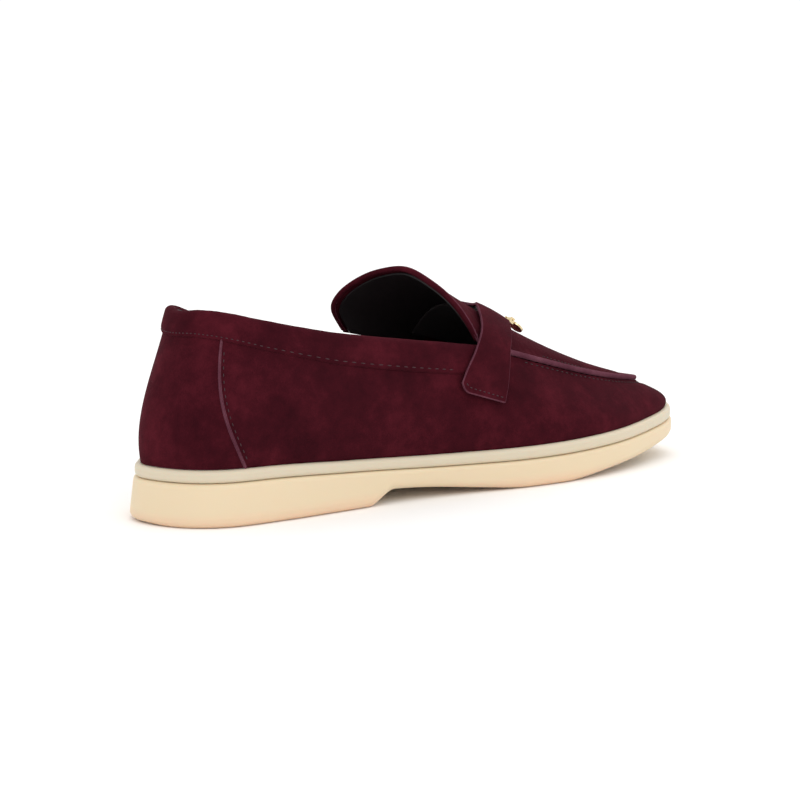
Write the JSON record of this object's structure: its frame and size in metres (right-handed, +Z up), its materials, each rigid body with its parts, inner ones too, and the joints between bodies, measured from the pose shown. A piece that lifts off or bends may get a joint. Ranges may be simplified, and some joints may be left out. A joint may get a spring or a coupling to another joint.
{
  "type": "penny loafer",
  "caption": "Slip-on shoe with a raised-seam apron, saddle strap, flared tongue, folded topline band and a low cream rubber sole.",
  "frame": {"origin": "middle of the bounding box on the ground under the shoe", "axes": "+X towards the toe, +Y towards the inner (medial) side, +Z up"},
  "size_m": [0.2947, 0.0945, 0.0978],
  "materials": {
    "comfort_foam": "soft foam",
    "cork_filler": "ground cork",
    "eva_foam": "light closed-cell foam",
    "fibre_board": "pressed fibre",
    "lining_leather": "smooth dark lining leather",
    "lining_textile": "woven lining",
    "midsole_rubber": "ivory rubber, satin",
    "pale_metal": "pale gold-toned metal, polished",
    "sole_rubber": "cream rubber, matte",
    "spring_steel": "spring steel strip",
    "suede": "wine-red suede, napped",
    "suede_edge": "folded suede edge",
    "thread": "waxed thread",
    "webbing_tape": "woven reinforcing tape"
  },
  "bodies": {
    "shoe": {"apron": "suede", "apron_lining": "lining_textile", "apron_piping": "suede_edge", "apron_stitching": "thread", "ball_core": "cork_filler", "charm_mount": "pale_metal", "charm_pin": "pale_metal", "collar_foam": "comfort_foam", "heel_core": "eva_foam", "heel_counter": "fibre_board", "heel_cover": "suede", "heel_grip": "suede", "heel_seam_stitching": "thread", "heel_seam_welt": "suede_edge", "insole_board": "fibre_board", "midsole": "midsole_rubber", "outsole": "sole_rubber", "quarter_lining": "lining_leather", "saddle_strap": "suede", "shank": "spring_steel", "side_wall": "suede", "sock_foam": "comfort_foam", "sock_liner": "lining_leather", "strap_backing": "lining_leather", "strap_stitching": "thread", "throat_panel": "suede", "toe_puff": "fibre_board", "topline_band": "suede", "topline_stitching": "thread", "topline_tape": "webbing_tape", "vamp_lining": "lining_textile"},
    "tongue": {"tongue_outer": "suede", "tongue_lining": "lining_leather", "tongue_binding": "suede_edge", "tongue_stitching": "thread"},
    "charm": {"charm_disc": "pale_metal"}
  },
  "joints": [
    {"name": "tongue_flex", "type": "hinge", "parent": "shoe", "child": "tongue", "pos_m": [0.0092, 0, 0.0855], "axis": [0, 1, 0], "range_deg": [-6, 12], "stiffness_Nm_per_rad": 0.05},
    {"name": "charm_swing", "type": "hinge", "parent": "shoe", "child": "charm", "pos_m": [0.05425, 0, 0.06905], "axis": [0, -1, 0], "range_deg": [0, 95]}
  ]
}
